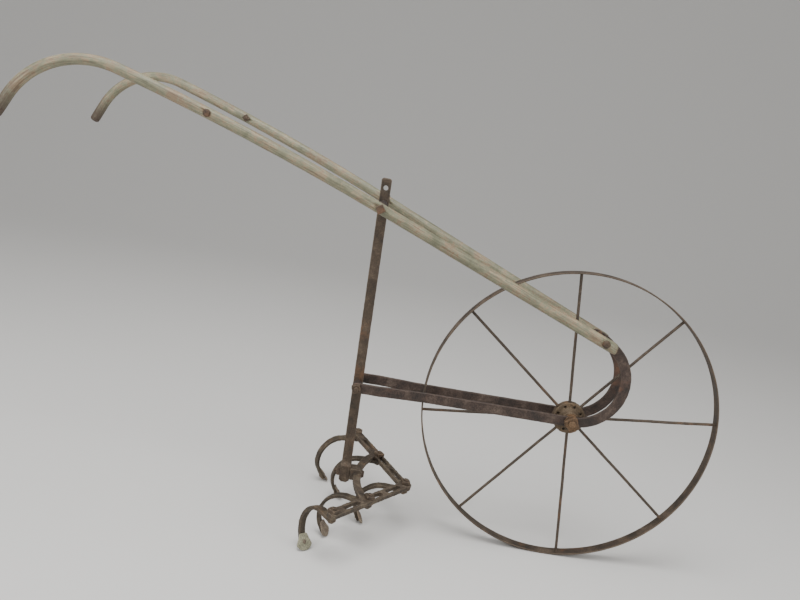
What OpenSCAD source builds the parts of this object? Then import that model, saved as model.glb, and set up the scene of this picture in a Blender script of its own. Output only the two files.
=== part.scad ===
// High-wheel garden cultivator: one tall iron wheel in a two-bar fork, an upright,
// two bent wooden handles and a V-shaped cast tool frame with five curved tines.
// Millimetres. +X is forward, +Y is the operator's left, +Z is up.
// The origin is on the ground straight below the axle, midway between the fork bars.

/* [Wheel] */
// Outside diameter of the wheel
wheel_d = 610; // [500:5:700]
// Width of the flat iron rim
rim_w = 25; // [18:1:40]
// Thickness of the flat iron rim
rim_t = 3; // [2:0.5:6]
// Diameter of the round spokes
spoke_d = 6; // [4:0.5:10]
// Angle of the first spoke above straight ahead
spoke_turn = 6.5; // [0:0.5:44.5]
// Diameter of the hub disc that holds the spokes
hub_disc_d = 66; // [50:1:90]
// Thickness of the hub disc
hub_disc_t = 16; // [10:1:24]
// Diameter of the hub barrel
hub_barrel_d = 34; // [26:1:44]
// Length of the hub barrel along the axle
hub_len = 44; // [36:1:50]
// Diameter of the axle bolt
axle_d = 14; // [10:0.5:18]

/* [Fork] */
// Height of the flat fork bars
bar_h = 21; // [16:1:30]
// Thickness of the fork bars
bar_t = 6; // [4:0.5:10]
// Clear gap between the fork bars beside the wheel
fork_gap = 51; // [47:1:70]
// Clear gap between the fork bars beside the upright
fork_rear_gap = 69; // [55:1:90]
// Radius of the front curve of the fork bars, to the middle of the bar
curve_r = 90; // [70:1:110]
// Distance from the axle back to the bolt through the upright
fork_len = 441; // [400:1:480]

/* [Upright] */
// Width of the flat upright, front to back
upright_w = 20; // [16:1:30]
// Thickness of the flat upright, side to side
upright_t = 10; // [8:1:16]
// Height of the top end above the ground
upright_top = 727; // [690:1:760]
// Height of the bolt that carries the handles
cross_z = 676; // [640:1:690]
// Height of the spare hole above the handle bolt
spare_z = 708; // [695:1:715]

/* [Handles] */
// Diameter of the bent wooden handles
handle_d = 20; // [18:0.5:24]
// Diameter of the handles at their front ends
handle_front_d = 23; // [21:0.5:28]
// Angle at which each handle runs outwards
splay = 8.4; // [6:0.1:10]
// Angle by which the long run of each handle droops
long_bow = 5.65; // [3:0.05:9]
// Radius of the bend above the grip
bend_r = 148; // [120:1:170]
// How steeply the grip points down
grip_slope = 62; // [50:1:70]
// Length of the straight grip
grip_len = 42; // [36:1:60]

/* [Tool frame] */
// Angle of each arm away from straight back
arm_angle = 57.7; // [50:0.1:65]
// Distance along an arm from the front bolt to the end bolt
arm_len = 238; // [220:1:250]
// Width of each arm
arm_w = 22; // [20:1:26]
// Thickness of each arm
arm_t = 10; // [8:1:14]
// Upward slope of the tool frame towards the back
head_pitch = 6; // [0:0.5:8]
// How much the tool frame has turned on its bolt, left side up
head_roll = 1.2; // [-3:0.1:3]
// How much the tool frame is skewed, left side forward
head_skew = 2; // [-3:0.1:3]
// Height of the underside of the tool frame at the front bolt
head_z = 90; // [84:1:96]
// Length of each slot in the arms
slot_len = 50; // [40:1:52]
// Width of each slot in the arms
slot_w = 10.1; // [10.1:0.1:12]

/* [Tines] */
// Width of the curved tine shank at its head
shank_w = 19; // [16:1:22]
// Thickness of the curved tine shank
shank_t = 7; // [5:0.5:9]
// Radius of the shank curve, to the middle of the iron
shank_r = 50; // [40:1:54]
// Distance from a tine's bolt back to the rear of its curve
shank_reach = 95; // [88:1:105]
// How much shorter the right rear tine reaches back
short_reach = 13; // [0:1:20]
// Width of the small shovel point
point_w = 35; // [26:1:40]
// Thickness of the shovel point
point_t = 3; // [2:0.5:5]

/* [Hidden] */

iron = [0.24, 0.20, 0.18];
rust = [0.42, 0.27, 0.19];
wood = [0.60, 0.60, 0.50];
worn = [0.62, 0.62, 0.56];

wheel_r = wheel_d / 2;
rim_in = wheel_r - rim_t;
axle_z = wheel_r;
hub_bore_r = axle_d / 2 + 0.06;
spoke_root = hub_disc_d / 2 - 9;

// Threaded parts are 9.5 mm across; their plain holes are a little larger.
bolt_r = 4.75;
hole_r = 4.8;
free_r = 5.0;
nut_w = 17;
nut_t = 7;

// Fork: inner face beside the wheel, outer face, and the same beside the upright.
fork_in = fork_gap / 2;
fork_out = fork_in + bar_t;
rear_in = fork_rear_gap / 2;
rear_out = rear_in + bar_t;
curve_x = 2;
curve_z = axle_z + curve_r;

// The curve ends where the bar lies along the handle.
handle_rise = 22;
curve_end = 90 - handle_rise;
front_x = curve_x + curve_r * cos(curve_end) - 6 * sin(curve_end);
front_z = curve_z + curve_r * sin(curve_end) + 6 * cos(curve_end);

// Upright: its middle line leans back a little towards the top.
function upright_x(z) = -fork_len - (z - axle_z) * tan(0.9);
cross_x = upright_x(cross_z);
spare_x = upright_x(spare_z);

// Handle path, as distance back from the front bolt (u) and height (z).
handle_y = fork_out + handle_front_d / 2 - 0.4;
u1 = (front_x - cross_x) / cos(splay);
rise1 = atan2(cross_z - front_z, u1);
rise2 = rise1 - long_bow;
long_r = 5200;
long_cu = u1 + long_r * sin(rise1);
long_cz = cross_z - long_r * cos(rise1);
u2 = long_cu - long_r * sin(rise2);
z2 = long_cz + long_r * cos(rise2);
bend_cu = u2 + bend_r * sin(rise2);
bend_cz = z2 - bend_r * cos(rise2);
u3 = bend_cu + bend_r * sin(grip_slope);
z3 = bend_cz + bend_r * cos(grip_slope);
cross_y = handle_y + u1 * sin(splay);
rung_u = 808;
rung_x = front_x - rung_u * cos(splay);
rung_y = handle_y + rung_u * sin(splay);
rung_z = long_cz + sqrt(long_r * long_r - (long_cu - rung_u) * (long_cu - rung_u));
seat = handle_d / 2 - 1.2;
front_seat = handle_front_d / 2 - 1.5;

// Tool frame: the front bolt, and each bolt's distance along its arm.
apex_x = -310;
mid_s = 81 + slot_len - slot_w / 2;
lug_z = 107;
foot_x = upright_x(lug_z);
foot_back = foot_x - 11.5;
foot_front = foot_x + 10.5;
lug_front = foot_front + 24;

// Tine: a flat head, a curve of 126 degrees and a straight tail at 36 degrees.
curl = 36;
gap = 0.3;
shank_cz = -gap - shank_t / 2 - shank_r;
tail_z = shank_cz - shank_r * sin(curl);
function shank_cx(n) = shank_r + shank_t / 2 - shank_reach + (n == 1 ? short_reach : 0);
function tail_x(n) = shank_cx(n) - shank_r * cos(curl);

// Side of the frame, distance along the arm and turn of each tine on its bolt.
tine_side = [0, -1, -1, 1, 1, 1];
tine_s = [0, arm_len, mid_s, 0, mid_s, arm_len];
tine_turn = [0, -46, -12, 8, 18, 36];
tine_spin = [0, 12, 38, 5, 24, 57];

// Height above the ground of a point given in the tool frame's own axes.
function head_height(p) = head_z - p.x * sin(head_pitch)
    + cos(head_pitch) * (p.y * sin(head_roll) + p.z * cos(head_roll));

// A point of tine n, given in its own axes, in the tool frame's axes.
function from_tine(n, p) = [
    -tine_s[n] * cos(arm_angle) + p.x * cos(tine_turn[n]),
    tine_side[n] * tine_s[n] * sin(arm_angle) + p.x * sin(tine_turn[n]),
    p.z];

// Length of a tine's tail below the curve that brings its tip to the ground.
function tail_len(n) =
    let (a = [tail_x(n) + cos(curl) * shank_t / 2, 0, tail_z + sin(curl) * shank_t / 2],
         h0 = head_height(from_tine(n, a)),
         h1 = head_height(from_tine(n, a + [sin(curl), 0, -cos(curl)])))
    h0 / (h0 - h1);

module along_y(x, z) {
    translate([x, 0, z]) rotate([90, 0, 0]) children();
}

// A square nut standing on z = 0.
module nut_blank(w, t, r, turn) {
    rotate([0, 0, turn]) difference() {
        intersection() {
            translate([-w / 2, -w / 2, 0]) cube([w, w, t]);
            union() {
                cylinder(h = t - 1, r = w * 0.72, $fn = 48);
                translate([0, 0, t - 1]) cylinder(h = 1, r1 = w * 0.66, r2 = w * 0.56, $fn = 48);
            }
        }
        translate([0, 0, -1]) cylinder(h = t + 2, r = r, $fn = 48);
    }
}

// ---------------------------------------------------------------- wheel

// Flat iron strip bent to a ring, with a countersunk hole for each spoke.
module wheel_rim() {
    color(rust) along_y(0, axle_z) difference() {
        translate([0, 0, -rim_w / 2]) cylinder(h = rim_w, r = wheel_r, $fn = 180);
        translate([0, 0, -rim_w / 2 - 1]) cylinder(h = rim_w + 2, r = rim_in, $fn = 180);
        for (i = [0:7]) rotate([0, 0, spoke_turn + 45 * i]) rotate([0, 90, 0]) {
            translate([0, 0, rim_in - 2]) cylinder(h = 6, r = 2.35, $fn = 32);
            translate([0, 0, rim_in + 1]) cylinder(h = 3, r1 = 2.35, r2 = 5.35, $fn = 32);
        }
    }
}

// Cast hub: a barrel on the axle and a disc with cored holes between the spokes.
module wheel_hub() {
    color(rust) along_y(0, axle_z) difference() {
        union() {
            translate([0, 0, -hub_len / 2]) cylinder(h = hub_len, d = hub_barrel_d, $fn = 64);
            translate([0, 0, -hub_disc_t / 2]) cylinder(h = hub_disc_t, d = hub_disc_d, $fn = 64);
            translate([0, 0, hub_disc_t / 2])
                cylinder(h = 5, r1 = hub_barrel_d / 2 + 4, r2 = hub_barrel_d / 2, $fn = 64);
            translate([0, 0, -hub_disc_t / 2 - 5])
                cylinder(h = 5, r1 = hub_barrel_d / 2, r2 = hub_barrel_d / 2 + 4, $fn = 64);
        }
        translate([0, 0, -hub_len]) cylinder(h = 2 * hub_len, r = hub_bore_r, $fn = 64);
        for (i = [0:7]) {
            rotate([0, 0, spoke_turn + 45 * i]) rotate([0, 90, 0])
                translate([0, 0, spoke_root - 0.1]) cylinder(h = 20, d = spoke_d + 0.04, $fn = 32);
            rotate([0, 0, spoke_turn + 22.5 + 45 * i]) translate([hub_disc_d / 2 - 8, 0, -20])
                cylinder(h = 40, r = 2.6, $fn = 32);
        }
    }
}

// Round iron spoke, cast into the hub and riveted over in the rim.
module spoke(i) {
    color(rust) along_y(0, axle_z) rotate([0, 0, spoke_turn + 45 * (i - 1)]) rotate([0, 90, 0]) {
        translate([0, 0, spoke_root]) cylinder(h = rim_in - 0.1 - spoke_root, d = spoke_d, $fn = 32);
        translate([0, 0, rim_in - 0.2]) cylinder(h = 1.3, r = 2.3, $fn = 32);
        translate([0, 0, rim_in + 1]) cylinder(h = rim_t - 1.3, r1 = 2.3, r2 = 4, $fn = 32);
    }
}

// Axle: a square-headed bolt with its head on the left.
module axle_bolt() {
    color(iron) along_y(0, axle_z) {
        translate([0, 0, -fork_out - 2.6]) cylinder(h = 2 * fork_out + 18.6, d = axle_d, $fn = 64);
        translate([0, 0, -fork_out - 11.6]) rotate([0, 0, 20]) intersection() {
            translate([-11, -11, 0]) cube([22, 22, 9]);
            translate([0, 0, 1]) cylinder(h = 8, r = 14.6, $fn = 48);
        }
    }
}

module axle_nut() {
    color(rust) along_y(0, axle_z) translate([0, 0, fork_out + 2.6])
        nut_blank(23, 10, axle_d / 2 + 0.05, 33);
}

// Plain washers: one between hub and bar on each side, one under the head and one under the nut.
module axle_washers() {
    color(rust) along_y(0, axle_z) {
        for (z = [-fork_out - 2.5, -fork_in + 0.1, hub_len / 2 + 0.5, fork_out + 0.1])
            translate([0, 0, z]) difference() {
                cylinder(h = z > fork_out || z < -fork_out ? 2.4 : fork_in - hub_len / 2 - 0.6,
                         r = 14, $fn = 48);
                translate([0, 0, -1]) cylinder(h = 12, r = axle_d / 2 + 0.1, $fn = 48);
            }
    }
}

// ---------------------------------------------------------------- fork

// One flat bar: straight from the upright to the axle, then curved up to the handle.
module fork_bar(side) {
    z_in = side < 0 ? fork_in : -fork_out;
    difference() {
        union() {
            translate([0, 0, axle_z - bar_h / 2]) linear_extrude(height = bar_h)
                polygon([[curve_x, side * fork_in], [-300, side * fork_in],
                         [-400, side * rear_in], [-fork_len, side * rear_in],
                         [-fork_len, side * rear_out], [-400.3, side * rear_out],
                         [-300.3, side * fork_out], [curve_x, side * fork_out]]);
            along_y(-fork_len, axle_z)
                translate([0, 0, side < 0 ? rear_in : -rear_out]) cylinder(h = bar_t, d = bar_h, $fn = 48);
            along_y(curve_x, curve_z) rotate([0, 0, -90])
                rotate_extrude(angle = 90 + curve_end, $fn = 96)
                    translate([curve_r - bar_h / 2, z_in]) square([bar_h, bar_t]);
            along_y(curve_x, curve_z) rotate([0, 0, curve_end]) translate([0, 0, z_in + 0.05]) {
                translate([curve_r - bar_h / 2 + 0.05, -1, 0]) cube([bar_h - 0.1, 11, bar_t - 0.1]);
                translate([curve_r, 10, 0]) cylinder(h = bar_t - 0.1, d = bar_h - 0.1, $fn = 48);
            }
        }
        along_y(0, axle_z) translate([0, 0, -60]) cylinder(h = 120, r = axle_d / 2 + 0.05, $fn = 48);
        along_y(-fork_len, axle_z) translate([0, 0, -60]) cylinder(h = 120, r = hole_r, $fn = 48);
        along_y(front_x, front_z) translate([0, 0, -60]) cylinder(h = 120, r = hole_r, $fn = 48);
    }
}

module fork_bar_right() {
    color(iron) fork_bar(-1);
}

module fork_bar_left() {
    color(iron) fork_bar(1);
}

// Bolt through both bars and the upright, with a round head on the left.
module fork_bolt() {
    color(iron) along_y(-fork_len, axle_z) {
        translate([0, 0, -rear_out - 1]) cylinder(h = 2 * rear_out + 12, r = bolt_r, $fn = 48);
        translate([0, 0, -rear_out - 5]) cylinder(h = 4.9, r1 = 6, r2 = 9, $fn = 48);
    }
}

module fork_bolt_nut() {
    color(rust) along_y(-fork_len, axle_z) translate([0, 0, rear_out + 0.1])
        nut_blank(nut_w, nut_t, hole_r, 18);
}

// A tube on each side of the upright keeps the bars apart.
module fork_spacers() {
    color(iron) along_y(-fork_len, axle_z)
        for (z = [-rear_in + 0.05, upright_t / 2 + 0.05]) translate([0, 0, z]) difference() {
            cylinder(h = rear_in - upright_t / 2 - 0.1, r = 8, $fn = 48);
            translate([0, 0, -1]) cylinder(h = rear_in, r = 5.1, $fn = 48);
        }
}

// ---------------------------------------------------------------- upright

// Flat bar from the handles down to the tool frame, forged thicker at the foot.
module upright() {
    w = upright_w / 2;
    top_x = upright_x(upright_top);
    color(iron) difference() {
        union() {
            translate([0, upright_t / 2, 0]) rotate([90, 0, 0]) linear_extrude(height = upright_t)
                polygon([[top_x - w + 3, upright_top], [top_x - w, upright_top - 3],
                         [foot_x - w, 98], [foot_x + w, 98], [top_x + w, upright_top - 3],
                         [top_x + w - 3, upright_top]]);
            difference() {
                translate([0, 12, 0]) rotate([90, 0, 0]) linear_extrude(height = 24)
                    polygon([[foot_back, 92], [foot_back, 126], [foot_x - w + 1, 134],
                             [foot_x + w - 1, 134], [foot_front, 126], [foot_front, 92],
                             [foot_front - 6, 87], [foot_back + 6, 87]]);
                for (s = [0, 1]) mirror([0, s, 0]) translate([foot_x - 20, 12, 124])
                    rotate([55, 0, 0]) translate([0, 0, -0.01]) cube([40, 20, 20]);
            }
        }
        along_y(-fork_len, axle_z) translate([0, 0, -30]) cylinder(h = 60, r = hole_r, $fn = 48);
        along_y(cross_x, cross_z) translate([0, 0, -30]) cylinder(h = 60, r = hole_r, $fn = 48);
        along_y(spare_x, spare_z) translate([0, 0, -30]) cylinder(h = 60, r = free_r, $fn = 48);
        translate([foot_back - 10, 0, lug_z]) rotate([0, 90, 0]) cylinder(h = 60, r = hole_r, $fn = 48);
    }
}

// ---------------------------------------------------------------- handles

module handle_frame(side) {
    translate([front_x, side * handle_y, 0]) rotate([0, 0, 180 - side * splay]) children();
}

module handle_arc(cu, cz, r, d, from, to) {
    translate([cu, 0, cz]) rotate([90, 0, 0]) rotate([0, 0, from])
        rotate_extrude(angle = to - from, $fn = 96) translate([r, 0]) circle(d = d, $fn = 48);
}

// Round wooden handle, steam-bent down at the grip, with seats cut for its bolts.
// It tapers back to the upright and is a hair thinner in the bend.
module handle(side) {
    difference() {
        handle_frame(side) {
            translate([0, 0, front_z]) rotate([0, 90 - rise1, 0]) translate([0, 0, -26])
                cylinder(h = 26 + u1 / cos(rise1), d1 = handle_front_d, d2 = handle_d + 0.5, $fn = 48);
            handle_arc(long_cu, long_cz, long_r, handle_d, 90 + rise2, 90.02 + rise1);
            handle_arc(bend_cu, bend_cz, bend_r, handle_d - 0.4, 90 - grip_slope, 90.4 + rise2);
            translate([u3, 0, z3]) rotate([0, 90 + grip_slope, 0]) translate([0, 0, -1]) {
                cylinder(h = grip_len - 3, d = handle_d, $fn = 48);
                translate([0, 0, grip_len - 3])
                    cylinder(h = 4, d1 = handle_d, d2 = handle_d - 6, $fn = 48);
            }
        }
        translate([front_x - 60, side < 0 ? -fork_out - 0.05 : 0, front_z - 60])
            cube([160, fork_out + 0.05, 120]);
        along_y(front_x, front_z) {
            translate([0, 0, -80]) cylinder(h = 160, r = hole_r, $fn = 48);
            translate([0, 0, side < 0 ? handle_y + front_seat : -handle_y - front_seat - 20])
                cylinder(h = 20, r = 10.5, $fn = 48);
        }
        along_y(cross_x, cross_z) {
            translate([0, 0, -200]) cylinder(h = 400, r = hole_r, $fn = 48);
            translate([0, 0, side < 0 ? cross_y + seat : -cross_y - seat - 20])
                cylinder(h = 20, r = 13.5, $fn = 48);
            translate([0, 0, side < 0 ? cross_y - seat - 20 : -cross_y + seat])
                cylinder(h = 20, r = 9, $fn = 48);
        }
        along_y(rung_x, rung_z) {
            translate([0, 0, -200]) cylinder(h = 400, r = 3.3, $fn = 48);
            translate([0, 0, side < 0 ? rung_y + seat : -rung_y - seat - 20])
                cylinder(h = 20, r = 10, $fn = 48);
            translate([0, 0, side < 0 ? rung_y - seat - 20 : -rung_y + seat])
                cylinder(h = 20, r = 10, $fn = 48);
        }
    }
}

module handle_right() {
    color(wood) handle(-1);
}

module handle_left() {
    color(wood) handle(1);
}

// One bolt on each side holds the front end of a handle to its fork bar.
module handle_front_bolts() {
    color(rust) for (s = [0, 1]) mirror([0, s, 0]) along_y(front_x, front_z) {
        translate([0, 0, fork_in - 10])
            cylinder(h = handle_y + front_seat + 0.6 - fork_in + 10, r = bolt_r, $fn = 48);
        translate([0, 0, handle_y + front_seat + 0.1]) cylinder(h = 4.5, r1 = 8.5, r2 = 6, $fn = 48);
    }
}

module handle_front_nuts() {
    color(rust) for (s = [0, 1]) mirror([0, s, 0]) along_y(front_x, front_z)
        translate([0, 0, fork_in - 0.1 - nut_t]) nut_blank(nut_w - 1, nut_t, hole_r, 25);
}

// Long bolt through both handles and the upright, with its square head on the right.
module handle_cross_bolt() {
    color(rust) along_y(cross_x, cross_z) {
        translate([0, 0, -cross_y - seat - 12])
            cylinder(h = 2 * cross_y + 2 * seat + 12.5, r = bolt_r, $fn = 48);
        translate([0, 0, cross_y + seat + 0.1]) rotate([0, 0, 31]) intersection() {
            translate([-7.5, -7.5, 0]) cube([15, 15, 6]);
            cylinder(h = 6, r1 = 11, r2 = 9.6, $fn = 48);
        }
    }
}

module handle_cross_nut() {
    color(rust) along_y(cross_x, cross_z) translate([0, 0, -cross_y - seat - 0.1 - nut_t])
        nut_blank(nut_w, nut_t, hole_r, 8);
}

// A tube on each side of the upright holds the handles apart.
module handle_cross_spacers() {
    color(iron) along_y(cross_x, cross_z)
        for (z = [-cross_y + seat + 0.05, upright_t / 2 + 0.05]) translate([0, 0, z]) difference() {
            cylinder(h = cross_y - seat - upright_t / 2 - 0.1, r = 8, $fn = 48);
            translate([0, 0, -1]) cylinder(h = 120, r = 5.1, $fn = 48);
        }
}

// The two bolts left in the handles where a rung was fixed.
module rung_bolts() {
    color(rust) for (s = [0, 1]) mirror([0, s, 0]) along_y(rung_x, rung_z) {
        translate([0, 0, rung_y - seat - 8.5]) cylinder(h = 2 * seat + 9, r = 3.2, $fn = 48);
        translate([0, 0, rung_y + seat + 0.1]) cylinder(h = 4, r1 = 7.5, r2 = 5, $fn = 48);
    }
}

module rung_nuts() {
    color(rust) for (s = [0, 1]) mirror([0, s, 0]) along_y(rung_x, rung_z)
        translate([0, 0, rung_y - seat - 0.1 - 5.5]) nut_blank(12, 5.5, 3.25, 40);
}

// ---------------------------------------------------------------- tool frame

module head_frame() {
    translate([apex_x, 0, head_z]) rotate([0, 0, -head_skew]) rotate([0, head_pitch, 0])
        rotate([head_roll, 0, 0]) children();
}

// Places children at a distance along an arm, with X along the arm.
module on_arm(side, s) {
    rotate([0, 0, 180 - side * arm_angle]) translate([s, 0, 0]) children();
}

module arm_slot(from, to) {
    translate([from + slot_w / 2, -slot_w / 2, -20]) cube([to - from - slot_w, slot_w, 60]);
    for (x = [from + slot_w / 2, to - slot_w / 2]) translate([x, 0, -20])
        cylinder(h = 60, d = slot_w, $fn = 48);
}

// Cast V: two slotted arms, an arched brace between them and a lug for the upright.
module tool_frame() {
    color(iron) difference() {
        union() {
            head_frame() {
                cylinder(h = arm_t + 2, r = 14, $fn = 48);
                for (s = [-1, 1]) on_arm(s, 0) {
                    translate([0, -arm_w / 2, 0]) cube([arm_len, arm_w, arm_t]);
                    translate([arm_len, 0, 0]) cylinder(h = arm_t, d = arm_w, $fn = 48);
                }
                translate([150, 0, 0.1]) rotate([0, 0, 180 - 28.4]) rotate_extrude(angle = 56.8, $fn = 96)
                    translate([246, 0]) square([15, arm_t - 0.2]);
            }
            translate([0, 14, 0]) rotate([90, 0, 0]) linear_extrude(height = 28)
                polygon([[foot_front, 95], [foot_front, 120], [lug_front - 4, 120],
                         [lug_front, 115], [lug_front, 97]]);
        }
        head_frame() {
            translate([0, 0, -20]) cylinder(h = 60, r = hole_r, $fn = 48);
            for (s = [-1, 1]) on_arm(s, 0) {
                arm_slot(18, 18 + slot_len);
                arm_slot(81, 81 + slot_len);
                arm_slot(155, 155 + slot_len);
                translate([arm_len, 0, -20]) cylinder(h = 60, r = hole_r, $fn = 48);
            }
        }
        translate([foot_back - 10, 0, lug_z]) rotate([0, 90, 0]) cylinder(h = 120, r = hole_r, $fn = 48);
    }
}

// Bolt that holds the tool frame's lug to the foot of the upright.
module tool_frame_bolt() {
    color(iron) translate([0, 0, lug_z]) rotate([0, 90, 0]) {
        translate([0, 0, foot_back - 13]) cylinder(h = lug_front - foot_back + 13.5, r = bolt_r, $fn = 48);
        translate([0, 0, lug_front + 0.1]) cylinder(h = 5, r1 = 9, r2 = 6, $fn = 48);
    }
}

module tool_frame_nut() {
    color(rust) translate([foot_back - 0.1, 0, lug_z]) rotate([0, -90, 0])
        nut_blank(nut_w, nut_t, hole_r, 10);
}

// ---------------------------------------------------------------- tines

module tine_frame(n) {
    head_frame() on_arm(tine_side[n], tine_s[n])
        rotate([0, 0, tine_side[n] * arm_angle - 180 + tine_turn[n]]) children();
}

// Starts where the curve ends, X down the tail and Z out of its front face.
module tail_frame(n) {
    translate([tail_x(n), 0, tail_z]) rotate([0, 90 - curl, 0]) children();
}

// Curved flat shank: wide at the bolt, narrower towards the point.
module tine_shank(n) {
    w = shank_w / 2;
    tail = tail_len(n) - 9;
    color(iron) tine_frame(n) difference() {
        union() {
            translate([shank_cx(n), -w, -gap - shank_t]) cube([-shank_cx(n), shank_w, shank_t]);
            translate([0, 0, -gap - shank_t]) cylinder(h = shank_t, r = w, $fn = 48);
            translate([shank_cx(n), 0, shank_cz]) rotate([90, 0, 0]) rotate([0, 0, 90])
                rotate_extrude(angle = 90 + curl, $fn = 96)
                    translate([shank_r - shank_t / 2, -w]) square([shank_t, shank_w]);
            tail_frame(n) translate([-1, 0.1 - w, 0.1 - shank_t / 2])
                cube([tail + 1, shank_w - 0.2, shank_t - 0.2]);
        }
        for (s = [0, 1]) mirror([0, s, 0]) translate([0, 0, -130]) linear_extrude(height = 140)
            polygon([[-20, w], [-78, w - 2.9], [-120, w - 2.9], [-120, 30], [-20, 30]]);
        translate([0, 0, -20]) cylinder(h = 30, r = hole_r, $fn = 48);
        tail_frame(n) translate([tail - 8, 0, -20]) cylinder(h = 40, r = 2.55, $fn = 32);
    }
}

// Small shovel point bent to the front of the tail, its tip on the ground.
module tine_point(n) {
    len = tail_len(n);
    w = point_w / 2;
    back = shank_t / 2 + 0.05;
    color(worn) tine_frame(n) tail_frame(n) difference() {
        intersection() {
            union() {
                translate([0, -30, back]) cube([len + 1, 60, point_t]);
                translate([0, 0, shank_r]) rotate([90, 0, 0]) rotate([0, 0, 225])
                    rotate_extrude(angle = 45, $fn = 96)
                        translate([shank_r - back - point_t, -30]) square([point_t, 60]);
            }
            translate([0, 0, -1]) linear_extrude(height = 25) polygon([
                [len - 33, -7], [len - 31, -9], [len - 23, -12], [len - 15, -w + 1],
                [len - 12, -w], [len - 9, -w + 1], [len - 4, 6 - w], [len - 1, -6],
                [len, 0], [len - 1, 6], [len - 4, w - 6], [len - 9, w - 1], [len - 12, w],
                [len - 15, w - 1], [len - 23, 12], [len - 31, 9], [len - 33, 7]]);
        }
        translate([len - 17, 0, -1]) cylinder(h = 12, r = 2.55, $fn = 32);
    }
}

// Rivet through the point and the tail.
module tine_rivet(n) {
    len = tail_len(n);
    color(iron) tine_frame(n) tail_frame(n) translate([len - 17, 0, 0]) {
        translate([0, 0, -shank_t / 2 - 0.5]) cylinder(h = shank_t + point_t + 1, r = 2.5, $fn = 32);
        translate([0, 0, shank_t / 2 + point_t + 0.1]) cylinder(h = 2, r1 = 4.5, r2 = 2.8, $fn = 32);
        translate([0, 0, -shank_t / 2 - 1.6]) cylinder(h = 1.5, r1 = 3, r2 = 4.2, $fn = 32);
    }
}

// Bolt up through the tine's head and the arm.
module tine_bolt(n) {
    top = n == 3 ? arm_t + 2 : arm_t;
    color(rust) tine_frame(n) {
        translate([0, 0, -gap - shank_t - 1])
            cylinder(h = gap + shank_t + 1 + top + 10, r = bolt_r, $fn = 48);
        translate([0, 0, -gap - shank_t - 4.6]) cylinder(h = 4.5, r1 = 5, r2 = 8, $fn = 48);
    }
}

module tine_nut(n) {
    top = n == 3 ? arm_t + 2 : arm_t;
    color(rust) tine_frame(n) translate([0, 0, top + gap]) nut_blank(nut_w, nut_t, hole_r, tine_spin[n]);
}

wheel_rim();
wheel_hub();
spoke(1);  // spoke_1
spoke(2);  // spoke_2
spoke(3);  // spoke_3
spoke(4);  // spoke_4
spoke(5);  // spoke_5
spoke(6);  // spoke_6
spoke(7);  // spoke_7
spoke(8);  // spoke_8
axle_bolt();
axle_nut();
axle_washers();
fork_bar_right();
fork_bar_left();
fork_bolt();
fork_bolt_nut();
fork_spacers();
upright();
handle_right();
handle_left();
handle_front_bolts();
handle_front_nuts();
handle_cross_bolt();
handle_cross_nut();
handle_cross_spacers();
rung_bolts();
rung_nuts();
tool_frame();
tool_frame_bolt();
tool_frame_nut();
tine_shank(1);  // tine_shank_1
tine_point(1);  // tine_point_1
tine_rivet(1);  // tine_rivet_1
tine_bolt(1);  // tine_bolt_1
tine_nut(1);  // tine_nut_1
tine_shank(2);  // tine_shank_2
tine_point(2);  // tine_point_2
tine_rivet(2);  // tine_rivet_2
tine_bolt(2);  // tine_bolt_2
tine_nut(2);  // tine_nut_2
tine_shank(3);  // tine_shank_3
tine_point(3);  // tine_point_3
tine_rivet(3);  // tine_rivet_3
tine_bolt(3);  // tine_bolt_3
tine_nut(3);  // tine_nut_3
tine_shank(4);  // tine_shank_4
tine_point(4);  // tine_point_4
tine_rivet(4);  // tine_rivet_4
tine_bolt(4);  // tine_bolt_4
tine_nut(4);  // tine_nut_4
tine_shank(5);  // tine_shank_5
tine_point(5);  // tine_point_5
tine_rivet(5);  // tine_rivet_5
tine_bolt(5);  // tine_bolt_5
tine_nut(5);  // tine_nut_5
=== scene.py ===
import math
import bmesh
import bpy
from mathutils import Matrix, Vector, noise


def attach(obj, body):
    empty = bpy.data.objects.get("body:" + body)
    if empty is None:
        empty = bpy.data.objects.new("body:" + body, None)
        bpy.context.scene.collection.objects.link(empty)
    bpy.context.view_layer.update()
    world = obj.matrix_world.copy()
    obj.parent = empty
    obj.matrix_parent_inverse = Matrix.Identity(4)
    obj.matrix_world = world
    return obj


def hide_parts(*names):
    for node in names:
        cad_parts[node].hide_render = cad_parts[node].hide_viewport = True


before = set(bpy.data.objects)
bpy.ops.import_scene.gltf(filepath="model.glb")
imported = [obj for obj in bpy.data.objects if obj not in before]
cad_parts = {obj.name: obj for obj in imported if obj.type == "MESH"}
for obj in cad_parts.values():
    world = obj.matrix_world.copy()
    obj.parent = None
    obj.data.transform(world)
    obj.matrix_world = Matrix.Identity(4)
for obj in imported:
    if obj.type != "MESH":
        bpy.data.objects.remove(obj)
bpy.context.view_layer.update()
scene = bpy.context.scene

# The room. A plain pale floor that sweeps up into a wall far behind the tool, a soft sky,
# and three large soft lamps: one overhead, one beside the operator and one low in front.
scene.camera = bpy.data.objects.new("camera", bpy.data.cameras.new("camera"))
scene.collection.objects.link(scene.camera)
right, up, ahead = (Vector((0.98651, 0.02573, 0.16164)), Vector((-0.16353, 0.19605, 0.96686)),
                    Vector((0.00681, 0.98026, -0.19762)))
look = Matrix((right, up, -ahead)).transposed().to_4x4()
scene.camera.matrix_world = Matrix.Translation((-0.3946, -1.5850, 0.8102)) @ look
scene.camera.data.sensor_width = 36
scene.camera.data.lens = 36
scene.camera.data.clip_end = 60

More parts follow.
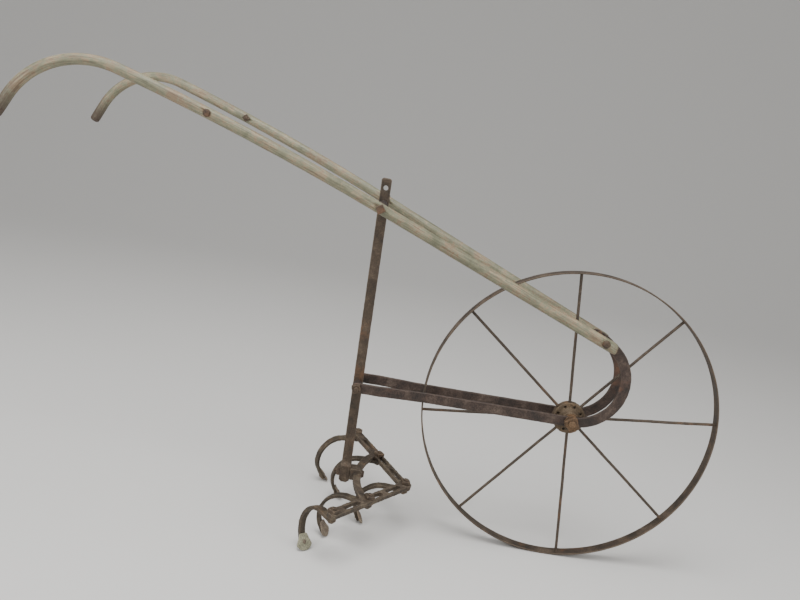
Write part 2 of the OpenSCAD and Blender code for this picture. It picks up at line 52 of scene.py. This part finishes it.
floor_mesh = bpy.data.meshes.new("floor")
floor_back, cove_start, cove_radius, wall_top, half_width = -20.0, 3.0, 5.0, 16.0, 22
sweep = [(floor_back, 0.0), (cove_start, 0.0)]
for k in range(1, 31):
    a = math.radians(3 * k)
    sweep.append((cove_start + cove_radius * math.sin(a), cove_radius - cove_radius * math.cos(a)))
sweep.append((cove_start + cove_radius, wall_top))
floor_mesh.from_pydata([(x, y, z) for y, z in sweep for x in (-half_width, half_width)], [],
                       [(2 * k, 2 * k + 1, 2 * k + 3, 2 * k + 2) for k in range(len(sweep) - 1)])
floor_mesh.shade_smooth()
floor = bpy.data.objects.new("floor", floor_mesh)
scene.collection.objects.link(floor)
floor_paint = bpy.data.materials.new("pale_floor")
floor_paint.use_nodes = True
paint = floor_paint.node_tree.nodes["Principled BSDF"]
paint.inputs["Base Color"].default_value = (0.66, 0.65, 0.63, 1)
paint.inputs["Roughness"].default_value = 0.85
floor_mesh.materials.append(floor_paint)

sky = bpy.data.worlds.new("soft_sky")
scene.world = sky
sky.use_nodes = True
sky.node_tree.nodes["Background"].inputs[0].default_value = (0.78, 0.78, 0.78, 1)
sky.node_tree.nodes["Background"].inputs[1].default_value = 0.75
for name, place, aim, size, watts in (
        ("lamp_over", (-0.6, -0.7, 2.6), (-0.4, 0, 0.3), 1.6, 62),
        ("lamp_side", (-2.2, -2.0, 1.6), (-0.4, 0, 0.4), 1.4, 34),
        ("lamp_front", (1.9, -1.7, 1.0), (-0.1, 0, 0.3), 1.3, 24)):
    lamp = bpy.data.objects.new(name, bpy.data.lights.new(name, "AREA"))
    lamp.data.size = size
    lamp.data.energy = watts
    lamp.location = place
    lamp.rotation_euler = (Vector(place) - Vector(aim)).to_track_quat("Z", "Y").to_euler()
    scene.collection.objects.link(lamp)


# Wheel tyre. A flat iron strip bent to a ring and welded, 610 mm across, 25 mm wide and 3 mm
# thick. It has lost its paint and gone dark brown, with orange rust in patches and the tread
# edges rubbed a little lighter.
def add(tree, kind, settings=(), **sockets):
    """One node in a tree. A socket's value is a number, a colour or another node's output."""
    node = tree.nodes.new(kind)
    for key, value in dict(settings).items():
        setattr(node, key, value)
    for key, value in sockets.items():
        socket = node.inputs[int(key[1:])] if key[0] == "_" else node.inputs[key.replace("_", " ")]
        if isinstance(value, bpy.types.NodeSocket):
            tree.links.new(value, socket)
        else:
            socket.default_value = value
    return node


def ramp(tree, fac, *stops):
    """A colour ramp from (place, colour) stops."""
    node = add(tree, "ShaderNodeValToRGB", Fac=fac)
    bar = node.color_ramp.elements
    while len(bar) < len(stops):
        bar.new(0.5)
    for element, (where, colour) in zip(bar, stops):
        element.position = where
        element.color = (*colour, 1) if len(colour) == 3 else (colour[0],) * 3 + (1,)
    return node.outputs["Color"]


def rusted_iron(name, deep, mid, pale, orange, orange_share, seed=0.0, grain=1.0, pits=0.5):
    """Old bare iron: mottled brown, rust patches, pits, and corners rubbed paler."""
    material = bpy.data.materials.new(name)
    material.use_nodes = True
    t = material.node_tree
    skin = t.nodes["Principled BSDF"]
    where = add(t, "ShaderNodeTexCoord").outputs["Object"]
    spot = add(t, "ShaderNodeMapping", Vector=where, Location=(seed, seed * 0.7, -seed)).outputs[0]
    mottle = add(t, "ShaderNodeTexNoise", Vector=spot, Scale=38 * grain, Detail=9.0, Roughness=0.66)
    speck = add(t, "ShaderNodeTexNoise", Vector=spot, Scale=420 * grain, Detail=5.0, Roughness=0.7)
    patch = add(t, "ShaderNodeTexNoise", Vector=spot, Scale=11.0 * grain, Detail=8.0, Roughness=0.7)
    base = ramp(t, mottle.outputs["Fac"], (0.33, deep), (0.52, mid), (0.70, pale))
    flecks = ramp(t, speck.outputs["Fac"], (0.35, (0.45,)), (0.62, (1.25,)))
    colour = add(t, "ShaderNodeMix", {"data_type": "RGBA", "blend_type": "MULTIPLY"}, _0=1.0, _6=base,
                 _7=flecks)
    share = ramp(t, patch.outputs["Fac"], (0.62 - orange_share, (0.0,)), (0.80 - orange_share, (1.0,)))
    colour = add(t, "ShaderNodeMix", {"data_type": "RGBA"}, _0=share, _6=colour.outputs[2], _7=(*orange, 1))
    bare = add(t, "ShaderNodeNewGeometry").outputs["Pointiness"]
    rubbed = ramp(t, bare, (0.515, (0.0,)), (0.60, (0.55,)))
    colour = add(t, "ShaderNodeMix", {"data_type": "RGBA"}, _0=rubbed, _6=colour.outputs[2],
                 _7=(*[min(1, 1.7 * c + 0.01) for c in pale], 1))
    t.links.new(colour.outputs[2], skin.inputs["Base Color"])
    dull = ramp(t, mottle.outputs["Fac"], (0.3, (0.56,)), (0.7, (0.86,)))
    t.links.new(dull, skin.inputs["Roughness"])
    skin.inputs["Metallic"].default_value = 0.25
    hole = add(t, "ShaderNodeTexVoronoi", {"feature": "SMOOTH_F1"}, Vector=spot, Scale=330 * grain)
    height = add(t, "ShaderNodeMath", {"operation": "MULTIPLY_ADD"}, _0=hole.outputs["Distance"], _1=pits,
                 _2=speck.outputs["Fac"])
    height = add(t, "ShaderNodeMath", {"operation": "MULTIPLY_ADD"}, _0=mottle.outputs["Fac"], _1=2.2,
                 _2=height.outputs[0])
    bump = add(t, "ShaderNodeBump", Height=height.outputs[0], Strength=0.55, Distance=0.0007)
    t.links.new(bump.outputs["Normal"], skin.inputs["Normal"])
    return material


def new_tree(name, inputs):
    """A geometry tree that starts from a shape and has a named input for each size."""
    tree = bpy.data.node_groups.new(name, "GeometryNodeTree")
    tree.interface.new_socket("Mesh", in_out="OUTPUT", socket_type="NodeSocketGeometry")
    tree.interface.new_socket("Shape", in_out="INPUT", socket_type="NodeSocketGeometry")
    for label, value in inputs.items():
        kind = "Int" if isinstance(value, int) else "Float"
        kind = "Material" if value is None else kind
        socket = tree.interface.new_socket(label, in_out="INPUT", socket_type="NodeSocket" + kind)
        if value is not None:
            socket.default_value = value
    return tree, tree.nodes.new("NodeGroupInput").outputs, tree.nodes.new("NodeGroupOutput").inputs


def roughened(tree, shape, size, depth, seed):
    """Moves each point in or out along its normal by smooth noise."""
    place = add(tree, "GeometryNodeInputPosition").outputs[0]
    wave = add(tree, "ShaderNodeTexNoise", {"noise_dimensions": "4D"}, Vector=place, W=seed,
               Scale=size, Detail=3.0)
    push = add(tree, "ShaderNodeMath", {"operation": "SUBTRACT"}, _0=wave.outputs[0], _1=0.5)
    push = add(tree, "ShaderNodeMath", {"operation": "MULTIPLY"}, _0=push.outputs[0], _1=depth)
    out = add(tree, "GeometryNodeInputNormal").outputs[0]
    step = add(tree, "ShaderNodeVectorMath", {"operation": "SCALE"}, _0=out, Scale=push.outputs[0])
    return add(tree, "GeometryNodeSetPosition", Geometry=shape, Offset=step.outputs[0]).outputs[0]


def finish_tree(tree, shape, material, output):
    """Real geometry, smooth shading and one material, for the end of a tree."""
    shape = add(tree, "GeometryNodeRealizeInstances", Geometry=shape).outputs[0]
    shape = add(tree, "GeometryNodeSetShadeSmooth", Geometry=shape).outputs[0]
    shape = add(tree, "GeometryNodeSetMaterial", Geometry=shape, Material=material).outputs[0]
    tree.links.new(shape, output)


def grow(name, tree, shape, **sizes):
    """Runs a tree on a shape and keeps the result as a plain mesh."""
    seedling = bpy.data.objects.new(name + "_start", shape)
    scene.collection.objects.link(seedling)
    made = seedling.modifiers.new("made", "NODES")
    made.node_group = tree
    for item in tree.interface.items_tree:
        if item.item_type == "SOCKET" and item.in_out == "INPUT" and item.name in sizes:
            made[item.identifier] = sizes[item.name]
    bpy.context.view_layer.update()
    graph = bpy.context.evaluated_depsgraph_get()
    mesh = bpy.data.meshes.new_from_object(seedling.evaluated_get(graph), preserve_all_data_layers=True,
                                           depsgraph=graph)
    bpy.data.objects.remove(seedling)
    piece = bpy.data.objects.new(name, mesh)
    scene.collection.objects.link(piece)
    return piece


rim_rust = rusted_iron("rusty_tyre", (0.026, 0.019, 0.013), (0.066, 0.046, 0.031), (0.135, 0.10, 0.070),
                       (0.17, 0.080, 0.036), 0.05, seed=1.3)
tree, given, made = new_tree("bent_strip", {"Radius": 0.3032, "Width": 0.0246, "Thickness": 0.003,
                                            "Corner": 0.0008, "Steps": 420, "Lumps": 0.0005, "Iron": None})
ring = add(tree, "GeometryNodeCurvePrimitiveCircle", Resolution=given["Steps"], Radius=given["Radius"])
strip = add(tree, "GeometryNodeCurvePrimitiveQuadrilateral", Width=given["Thickness"], Height=given["Width"])
strip = add(tree, "GeometryNodeFilletCurve", {"mode": "POLY"}, Curve=strip.outputs[0],
            Radius=given["Corner"], Count=4)
strip = add(tree, "GeometryNodeResampleCurve", Curve=strip.outputs[0], Count=56)
hoop = add(tree, "GeometryNodeCurveToMesh", Curve=ring.outputs[0], Profile_Curve=strip.outputs[0])
hoop = add(tree, "GeometryNodeTransform", Geometry=hoop.outputs[0], Rotation=(math.radians(90), 0, 0),
           Translation=(0, 0, 0.305))
finish_tree(tree, roughened(tree, hoop.outputs[0], 45.0, given["Lumps"], 2.0), given["Iron"], made[0])
tyre = grow("wheel_tyre", tree, bpy.data.meshes.new("nothing"), Iron=rim_rust)
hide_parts("wheel_rim")
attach(tyre, "wheel")

# Spokes. Eight round iron rods, each in a close hole in the hub and in the tyre. None is quite
# straight, and they rust like the tyre.
tree, given, made = new_tree("ring_of_spokes", {"Root": 0.0255, "Tip": 0.3035, "Rod radius": 0.003,
                                                "Count": 8, "First turn": math.radians(6.5),
                                                "Wander": 0.0022, "Iron": None})
root = add(tree, "ShaderNodeCombineXYZ", X=given["Root"]).outputs[0]
tip = add(tree, "ShaderNodeCombineXYZ", X=given["Tip"]).outputs[0]
rod = add(tree, "GeometryNodeCurvePrimitiveLine", Start=root, End=tip)
rod = add(tree, "GeometryNodeResampleCurve", Curve=rod.outputs[0], Count=110)
round_bar = add(tree, "GeometryNodeCurvePrimitiveCircle", Resolution=18, Radius=given["Rod radius"])
rod = add(tree, "GeometryNodeCurveToMesh", Curve=rod.outputs[0], Profile_Curve=round_bar.outputs[0],
          Fill_Caps=True)
middle = add(tree, "GeometryNodeMeshCircle", Vertices=given["Count"], Radius=0.0)
number = add(tree, "GeometryNodeInputIndex").outputs[0]
turn = add(tree, "ShaderNodeMath", {"operation": "MULTIPLY"}, _0=number, _1=-math.tau / 8)
turn = add(tree, "ShaderNodeMath", {"operation": "SUBTRACT"}, _0=turn.outputs[0], _1=given["First turn"])
turn = add(tree, "ShaderNodeCombineXYZ", Y=turn.outputs[0])
spokes = add(tree, "GeometryNodeInstanceOnPoints", Points=middle.outputs[0], Instance=rod.outputs[0],
             Rotation=turn.outputs[0])
spokes = add(tree, "GeometryNodeRealizeInstances", Geometry=spokes.outputs[0])
spokes = add(tree, "GeometryNodeTransform", Geometry=spokes.outputs[0], Translation=(0, 0, 0.305))
place = add(tree, "GeometryNodeInputPosition").outputs[0]
drift = add(tree, "ShaderNodeTexNoise", {"noise_dimensions": "4D"}, Vector=place, W=5.0,
            Scale=9.0, Detail=1.0)
drift = add(tree, "ShaderNodeVectorMath", {"operation": "SUBTRACT"}, _0=drift.outputs["Color"],
            _1=(0.5, 0.5, 0.5))
drift = add(tree, "ShaderNodeVectorMath", {"operation": "SCALE"}, _0=drift.outputs[0], Scale=given["Wander"])
spokes = add(tree, "GeometryNodeSetPosition", Geometry=spokes.outputs[0], Offset=drift.outputs[0])
finish_tree(tree, roughened(tree, spokes.outputs[0], 150.0, 0.0006, 4.0), given["Iron"], made[0])
spoke_rust = rusted_iron("rusty_spokes", (0.024, 0.018, 0.013), (0.060, 0.043, 0.030), (0.125, 0.095, 0.068),
                         (0.17, 0.080, 0.036), 0.07, seed=4.1)
spokes = grow("wheel_spokes", tree, bpy.data.meshes.new("nothing"), Iron=spoke_rust)
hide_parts(*["spoke_%d" % i for i in range(1, 9)])
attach(spokes, "wheel")


# Hub. One rough iron casting: a barrel that turns on the axle bolt, and a disc that holds the
# spokes, with cored holes between them. It is brown with patches of orange rust.
def weathered(name, nodes, body, material, voxel, soften=2, lumps=0.0003, size=160.0,
              wear=0.0, wear_size=30.0):
    """Copies CAD nodes, rounds their edges as rust does, and roughens their faces."""
    whole = bmesh.new()
    for node in nodes:
        whole.from_mesh(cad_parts[node].data)
    bmesh.ops.remove_doubles(whole, verts=whole.verts, dist=0.00002)
    mesh = bpy.data.meshes.new(name)
    whole.to_mesh(mesh)
    whole.free()
    piece = bpy.data.objects.new(name, mesh)
    scene.collection.objects.link(piece)
    grid = piece.modifiers.new("grid", "REMESH")
    grid.mode = "VOXEL"
    grid.voxel_size = voxel
    graph = bpy.context.evaluated_depsgraph_get()
    mesh = bpy.data.meshes.new_from_object(piece.evaluated_get(graph))
    piece.modifiers.clear()
    piece.data = mesh
    skin = bmesh.new()
    skin.from_mesh(mesh)
    for _ in range(soften):
        bmesh.ops.smooth_vert(skin, verts=skin.verts, factor=0.5, use_axis_x=True,
                               use_axis_y=True, use_axis_z=True)
    skin.normal_update()
    steps = []
    for v in skin.verts:
        push = noise.fractal(v.co * size, 1.0, 2.1, 3) * lumps
        if wear:
            push -= max(0.0, noise.noise(v.co * wear_size) - 0.15) * wear
        steps.append(v.normal * min(push, lumps * 0.6))
    for v, step in zip(skin.verts, steps):
        v.co += step
    skin.to_mesh(mesh)
    skin.free()
    mesh.shade_smooth()
    mesh.materials.clear()
    mesh.materials.append(material)
    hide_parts(*nodes)
    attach(piece, body)
    return piece


hub_rust = rusted_iron("rusty_hub", (0.034, 0.024, 0.015), (0.105, 0.072, 0.042), (0.185, 0.135, 0.085),
                       (0.25, 0.115, 0.042), 0.07, seed=7.7, pits=1.2)
weathered("wheel_hub_casting", ["wheel_hub"], "wheel", hub_rust, 0.0009, 3, 0.0005, 220.0)

# Axle. A square-headed bolt through the fork and hub, with a square nut on the left and flat
# washers beside the bars. These are the most orange pieces on the tool.
axle_rust = rusted_iron("orange_nut_rust", (0.050, 0.030, 0.018), (0.135, 0.078, 0.038), (0.23, 0.15, 0.085),
                        (0.30, 0.13, 0.045), 0.16, seed=2.9)
weathered("axle_bolt_iron", ["axle_bolt"], "frame", axle_rust, 0.0008, 2, 0.0003)
weathered("axle_nut_iron", ["axle_nut"], "frame", axle_rust, 0.0007, 2, 0.0003)
weathered("axle_washers_iron", ["axle_washers"], "frame", axle_rust, 0.0007, 1, 0.0002)

# Fork. Two flat iron bars run from the upright to the axle and curl up to the handles. They are
# drawn iron, nearly black, with scabs of brown rust and faint hammer waves.
bar_iron = rusted_iron("dark_bar_iron", (0.022, 0.016, 0.013), (0.055, 0.036, 0.028), (0.12, 0.088, 0.068),
                       (0.15, 0.068, 0.036), 0.06, seed=9.4)
for side in ("right", "left"):
    weathered("fork_bar_%s_iron" % side, ["fork_bar_" + side], "frame", bar_iron, 0.0011, 2,
              0.0003, 90.0)

# Fork fixings. A long bolt with a round head and a square nut clamps both bars to the upright,
# with a tube on each side to keep them apart.
bolt_rust = rusted_iron("bolt_rust", (0.028, 0.020, 0.014), (0.072, 0.048, 0.031), (0.14, 0.10, 0.068),
                        (0.19, 0.085, 0.038), 0.09, seed=12.2)
weathered("fork_bolt_iron", ["fork_bolt"], "frame", bolt_rust, 0.0007)
weathered("fork_bolt_nut_iron", ["fork_bolt_nut"], "frame", bolt_rust, 0.0006)
weathered("fork_spacer_tubes", ["fork_spacers"], "frame", bar_iron, 0.0007)

# Upright. A flat bar from the handles down to the tool frame, upset to a thick foot where the
# frame bolts on. Its top hole is empty.
upright_iron = rusted_iron("upright_iron", (0.026, 0.019, 0.013), (0.066, 0.046, 0.030), (0.13, 0.096, 0.066),
                           (0.16, 0.080, 0.038), 0.05, seed=15.8)
weathered("upright_iron", ["upright"], "frame", upright_iron, 0.0011, 2, 0.0003, 90.0)

# Handles. Two ash rods, shaved down from 23 mm at the front to 20 mm, steam-bent at the grip.
# The grey-green paint is thin and worn to brown wood, with the grips dark from hands.
def wood_paint(name, seed):
    """Thin grey-green paint on grained wood, worn through in patches and dark at the grips."""
    material = bpy.data.materials.new(name)
    material.use_nodes = True
    t = material.node_tree
    skin = t.nodes["Principled BSDF"]
    rod = add(t, "ShaderNodeAttribute", {"attribute_name": "rod"}).outputs["Vector"]
    along = add(t, "ShaderNodeMapping", Vector=rod, Location=(seed, -seed, seed * 0.3),
                Scale=(1, 1, 0.045)).outputs[0]
    fibre = add(t, "ShaderNodeTexNoise", Vector=along, Scale=560.0, Detail=6.0, Roughness=0.6)
    streak = add(t, "ShaderNodeTexNoise", Vector=along, Scale=150.0, Detail=5.0, Roughness=0.62)
    where = add(t, "ShaderNodeTexCoord").outputs["Object"]
    blot = add(t, "ShaderNodeTexNoise", Vector=where, Scale=26.0, Detail=9.0, Roughness=0.68)
    fleck = add(t, "ShaderNodeTexNoise", Vector=where, Scale=190.0, Detail=7.0, Roughness=0.72)
    wood = ramp(t, streak.outputs["Fac"], (0.30, (0.13, 0.085, 0.048)), (0.55, (0.27, 0.20, 0.125)),
                (0.75, (0.40, 0.33, 0.22)))
    paint = ramp(t, blot.outputs["Fac"], (0.30, (0.115, 0.115, 0.068)), (0.52, (0.215, 0.21, 0.135)),
                 (0.72, (0.33, 0.32, 0.215)))
    broad = add(t, "ShaderNodeMath", {"operation": "MULTIPLY"}, _0=blot.outputs["Fac"], _1=0.6)
    mask = add(t, "ShaderNodeMath", {"operation": "MULTIPLY_ADD"}, _0=fleck.outputs["Fac"], _1=0.55,
               _2=broad.outputs[0])
    worn = ramp(t, mask.outputs[0], (0.555, (0.0,)), (0.635, (1.0,)))
    colour = add(t, "ShaderNodeMix", {"data_type": "RGBA"}, _0=worn, _6=paint, _7=wood)
    lines = ramp(t, fibre.outputs["Fac"], (0.38, (0.62,)), (0.58, (1.06,)))
    colour = add(t, "ShaderNodeMix", {"data_type": "RGBA", "blend_type": "MULTIPLY"}, _0=1.0,
                 _6=colour.outputs[2], _7=lines)
    dirt = ramp(t, add(t, "ShaderNodeMath", {"operation": "ADD"}, _0=fleck.outputs["Fac"],
                       _1=streak.outputs["Fac"]).outputs[0], (0.70, (0.75,)), (0.88, (0.0,)))
    colour = add(t, "ShaderNodeMix", {"data_type": "RGBA"}, _0=dirt, _6=colour.outputs[2],
                 _7=(0.085, 0.062, 0.038, 1))
    grip = add(t, "ShaderNodeAttribute", {"attribute_name": "handling"}).outputs["Fac"]
    soil = add(t, "ShaderNodeMath", {"operation": "MULTIPLY_ADD"}, _0=fleck.outputs["Fac"], _1=0.5, _2=grip)
    soil = ramp(t, soil.outputs[0], (0.55, (0.0,)), (0.95, (0.94,)))
    colour = add(t, "ShaderNodeMix", {"data_type": "RGBA"}, _0=soil, _6=colour.outputs[2],
                 _7=(0.050, 0.030, 0.020, 1))
    t.links.new(colour.outputs[2], skin.inputs["Base Color"])
    t.links.new(ramp(t, blot.outputs["Fac"], (0.3, (0.42,)), (0.7, (0.66,))), skin.inputs["Roughness"])
    height = add(t, "ShaderNodeMath", {"operation": "MULTIPLY_ADD"}, _0=worn, _1=-0.5,
                 _2=fibre.outputs["Fac"])
    bump = add(t, "ShaderNodeBump", Height=height.outputs[0], Strength=0.5, Distance=0.0006)
    t.links.new(bump.outputs["Normal"], skin.inputs["Normal"])
    return material


tree, given, made = new_tree("bent_rod", {"Sides": 40, "Lumps": 0.0005, "Wood": None})
thick = add(tree, "GeometryNodeInputNamedAttribute", {"data_type": "FLOAT"}, Name="thick").outputs[0]
path = add(tree, "GeometryNodeMeshToCurve", Mesh=given["Shape"])
path = add(tree, "GeometryNodeSetCurveRadius", Curve=path.outputs[0], Radius=thick)
length = add(tree, "GeometryNodeSplineParameter").outputs["Length"]
noted = add(tree, "GeometryNodeCaptureAttribute")
noted.capture_items.new("FLOAT", "Length")
tree.links.new(path.outputs[0], noted.inputs["Geometry"])
tree.links.new(length, noted.inputs["Length"])
circle = add(tree, "GeometryNodeCurvePrimitiveCircle", Resolution=given["Sides"], Radius=1.0)
spot = add(tree, "GeometryNodeCaptureAttribute")
spot.capture_items.new("VECTOR", "Spot")
tree.links.new(circle.outputs[0], spot.inputs["Geometry"])
tree.links.new(add(tree, "GeometryNodeInputPosition").outputs[0], spot.inputs["Spot"])
rod = add(tree, "GeometryNodeCurveToMesh", Curve=noted.outputs["Geometry"],
          Profile_Curve=spot.outputs["Geometry"], Fill_Caps=True)
tree.links.new(add(tree, "GeometryNodeInputRadius").outputs[0], rod.inputs["Scale"])
flat = add(tree, "ShaderNodeVectorMath", {"operation": "SCALE"}, _0=spot.outputs["Spot"], Scale=0.0105)
flat = add(tree, "ShaderNodeSeparateXYZ", Vector=flat.outputs[0])
flat = add(tree, "ShaderNodeCombineXYZ", X=flat.outputs[0], Y=flat.outputs[1], Z=noted.outputs["Length"])
rod = add(tree, "GeometryNodeStoreNamedAttribute", {"data_type": "FLOAT_VECTOR", "domain": "POINT"},
          Geometry=rod.outputs[0], Name="rod", Value=flat.outputs[0])
finish_tree(tree, roughened(tree, rod.outputs[0], 34.0, given["Lumps"], 8.0), given["Wood"], made[0])

MM = 0.001
splay = math.radians(8.4)
front = (30.1515, 480.694)
first_rise, next_rise, grip_slope = map(math.radians, (22.0514, 16.4014, 62))
start_y, cross_u, long_r, bend_r = 42.6, (30.1515 + 446.828) / math.cos(splay), 5200.0, 148.0
line = []
for i in range(120):
    d = -26 + i / 119 * (26 + cross_u / math.cos(first_rise))
    line.append((d * math.cos(first_rise), front[1] + d * math.sin(first_rise), 11.5 - 1.25 * i / 119))
centre = (cross_u + long_r * math.sin(first_rise), 676 - long_r * math.cos(first_rise))
for i in range(1, 120):
    a = math.pi / 2 + first_rise + (next_rise - first_rise) * i / 119
    line.append((centre[0] + long_r * math.cos(a), centre[1] + long_r * math.sin(a), 10.2 - 0.3 * i / 119))
u, z, _ = line[-1]
centre = (u + bend_r * math.sin(next_rise), z - bend_r * math.cos(next_rise))
for i in range(1, 80):
    a = math.pi / 2 + next_rise - (grip_slope + next_rise) * i / 79
    line.append((centre[0] + bend_r * math.cos(a), centre[1] + bend_r * math.sin(a), 9.78))
u, z, _ = line[-1]
for d, r in ((4, 9.9), (8, 9.95), (12, 9.95), (16, 9.95), (20, 9.95), (24, 9.95), (28, 9.95),
             (32, 9.95), (36, 9.8), (38, 9.5), (39.5, 8.9), (40.8, 7.8), (41.5, 6.6),
             (41.8, 4.0), (41.85, 0.6)):
    line.append((u + d * math.cos(grip_slope), z - d * math.sin(grip_slope), r))
line = [(line[0][0], line[0][1], 0.6), (line[0][0] + 0.05, line[0][1], 8.0)] + [
    (u + 0.4, z, r - 0.9 + 0.45 * k) if k < 3 else (u, z, r) for k, (u, z, r) in enumerate(line)]
for side, sign in (("right", -1), ("left", 1)):
    rail = bpy.data.meshes.new("rail")
    points = [(MM * (front[0] - u * math.cos(splay)), sign * MM * (start_y + u * math.sin(splay)), MM * z)
              for u, z, r in line]
    rail.from_pydata(points, [(i, i + 1) for i in range(len(points) - 1)], [])
    width = rail.attributes.new("thick", "FLOAT", "POINT")
    width.data.foreach_set("value", [MM * r for u, z, r in line])
    handle = grow("handle_%s_wood" % side, tree, rail, Wood=wood_paint("worn_green_%s" % side, 3.0 + sign))
    for v in handle.data.vertices:
        x, y, z = v.co.x, v.co.y * sign, v.co.z
        if x > -0.06 and y < 0.0316:
            y = 0.0316
        middle_y = MM * (start_y + (MM * front[0] - x) / math.cos(splay) / MM * math.sin(splay))
        for bx, bz, deep, wide in ((0.03015, 0.48069, 0.0100, 0.0105), (-0.44683, 0.676, 0.0088, 0.0125),
                                   (-0.76918, 0.7955, 0.0088, 0.0098)):
            if math.hypot(x - bx, z - bz) < wide:
                seat_y = MM * (start_y + (MM * front[0] - bx) / math.cos(splay) / MM * math.sin(splay))
                y = min(y, seat_y + deep)
                if bx < 0:
                    y = max(y, seat_y - deep)
        v.co.y = y * sign
    soiled_reach, front_reach = 0.085, 0.10
    front_end, grip_end = Vector(points[0]), Vector(points[-1])
    marks = [max(0.0, 1.0 - (v.co - grip_end).length / soiled_reach) ** 0.5 * 0.75 +
             max(0.0, 0.30 - (v.co - front_end).length / front_reach) for v in handle.data.vertices]
    hands = handle.data.attributes.new("handling", "FLOAT", "POINT")
    hands.data.foreach_set("value", marks)
    bpy.context.view_layer.update()
    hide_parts("handle_" + side)
    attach(handle, "frame")

# Handle fixings. Round-headed bolts at the front ends, one long bolt through both handles and
# the upright with tubes between, and the two short bolts that once held a rung.
weathered("handle_front_bolt_irons", ["handle_front_bolts"], "frame", bolt_rust, 0.0006)
weathered("handle_front_nut_irons", ["handle_front_nuts"], "frame", bolt_rust, 0.0006)
weathered("handle_cross_bolt_iron", ["handle_cross_bolt"], "frame", bolt_rust, 0.0007)
weathered("handle_cross_nut_iron", ["handle_cross_nut"], "frame", bolt_rust, 0.0006)
weathered("handle_spacer_tubes", ["handle_cross_spacers"], "frame", bar_iron, 0.0008)
weathered("rung_bolt_irons", ["rung_bolts"], "frame", bolt_rust, 0.0005)
weathered("rung_nut_irons", ["rung_nuts"], "frame", bolt_rust, 0.0005)

# Tool frame. A sand-cast V with slotted arms, an arched brace and a lug bolted to the upright's
# foot. The cast skin is coarse, brown, and rubbed paler along its raised edges.
frame_rust = rusted_iron("cast_frame_rust", (0.032, 0.023, 0.016), (0.090, 0.066, 0.045), (0.18, 0.145, 0.10),
                         (0.18, 0.095, 0.048), 0.05, seed=21.5, pits=1.3)
weathered("tool_frame_casting", ["tool_frame"], "frame", frame_rust, 0.0010, 3, 0.0006, 170.0,
          0.0006, 60.0)
weathered("tool_frame_bolt_iron", ["tool_frame_bolt"], "frame", bolt_rust, 0.0007)
weathered("tool_frame_nut_iron", ["tool_frame_nut"], "frame", bolt_rust, 0.0006)

# Tine shanks. Five forged flat bars, bent to a deep hook and drawn narrower towards the point,
# each held under an arm by one bolt. Soil has kept them dark brown.
shank_rust = rusted_iron("shank_rust", (0.026, 0.020, 0.013), (0.070, 0.052, 0.034), (0.15, 0.12, 0.082),
                         (0.15, 0.082, 0.040), 0.05, seed=26.3)
for n in range(1, 6):
    weathered("tine_%d_shank_iron" % n, ["tine_shank_%d" % n], "tine_%d" % n, shank_rust,
              0.0009, 3, 0.0004, 130.0)

# Tine points. Small pressed shovels riveted to the shanks. Earth has scoured them pale brown,
# and the right rear one is palest, with dry soil.
pale_point = rusted_iron("soil_white_point", (0.15, 0.145, 0.095), (0.26, 0.25, 0.17), (0.37, 0.355, 0.25),
                         (0.26, 0.20, 0.12), 0.02, seed=31.0)
brown_point = rusted_iron("soil_brown_point", (0.085, 0.062, 0.045), (0.185, 0.145, 0.105),
                          (0.29, 0.245, 0.185), (0.20, 0.115, 0.065), 0.08, seed=33.0)
for n in range(1, 6):
    skin = pale_point if n == 1 else brown_point
    weathered("tine_%d_shovel" % n, ["tine_point_%d" % n], "tine_%d" % n, skin,
              0.0006, 2, 0.0003, 200.0)
    weathered("tine_%d_rivet_iron" % n, ["tine_rivet_%d" % n], "tine_%d" % n, brown_point,
              0.0004, 1, 0.0001)

# Tine fixings. A bolt up through each tine and arm, with a heavy square nut on top, set at
# whatever angle it came tight.
nut_rust = rusted_iron("tine_nut_rust", (0.034, 0.024, 0.016), (0.095, 0.066, 0.043), (0.19, 0.145, 0.10),
                       (0.20, 0.10, 0.048), 0.08, seed=41.0)
for n in range(1, 6):
    body = "tine_%d_bolt" % n if n in (2, 4) else "tine_%d" % n
    weathered("tine_%d_bolt_iron" % n, ["tine_bolt_%d" % n], body, nut_rust, 0.0006)
    weathered("tine_%d_nut_iron" % n, ["tine_nut_%d" % n], body, nut_rust, 0.0006)
